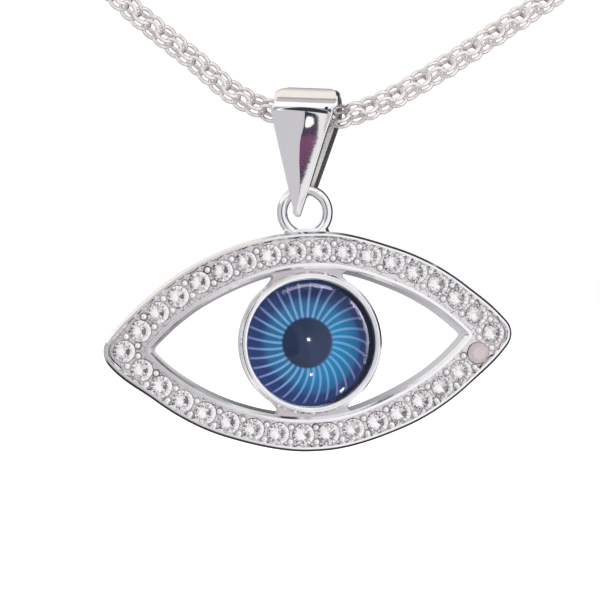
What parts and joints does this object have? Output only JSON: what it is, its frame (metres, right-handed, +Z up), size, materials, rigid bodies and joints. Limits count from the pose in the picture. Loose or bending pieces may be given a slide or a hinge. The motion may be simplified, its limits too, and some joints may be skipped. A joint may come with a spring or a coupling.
{
  "type": "evil eye pendant on a chain",
  "caption": "Eye-shaped silver pendant set with clear crystals, a blue glass iris in a round bezel, a folded bail and a rolo chain necklace, shown as worn.",
  "frame": {"origin": "middle of the clasp at the nape of the neck, where the necklace rests", "axes": "+Z up, the pendant faces -Y, +X to the viewer's right"},
  "size_m": [0.1244, 0.1102, 0.1415],
  "materials": {
    "silver": "polished silver",
    "chain_silver": "polished silver links",
    "clasp_silver": "polished silver",
    "iris_print": "printed disc with rays round a dark pupil",
    "eye_glass": "clear glass dome",
    "crystal": "clear brilliant-cut crystals"
  },
  "bodies": {
    "necklace": {"chain": "chain_silver", "clasp": "clasp_silver"},
    "bail": {"bail": "silver"},
    "eye": {"eye_frame": "silver", "iris_disc": "iris_print", "eye_cabochon": "eye_glass", "crystals": "crystal"}
  },
  "joints": [
    {"name": "bail_swing", "type": "hinge", "parent": "necklace", "child": "bail", "pos_m": [0, -0.106, -0.1135], "axis": [0.9838, -0.1735, -0.0454], "range_deg": [-75, 75]},
    {"name": "eye_swing", "type": "hinge", "parent": "bail", "child": "eye", "pos_m": [-0.00027, -0.10595, -0.11944], "axis": [0.9838, -0.1735, -0.0454], "range_deg": [-45, 45]}
  ]
}
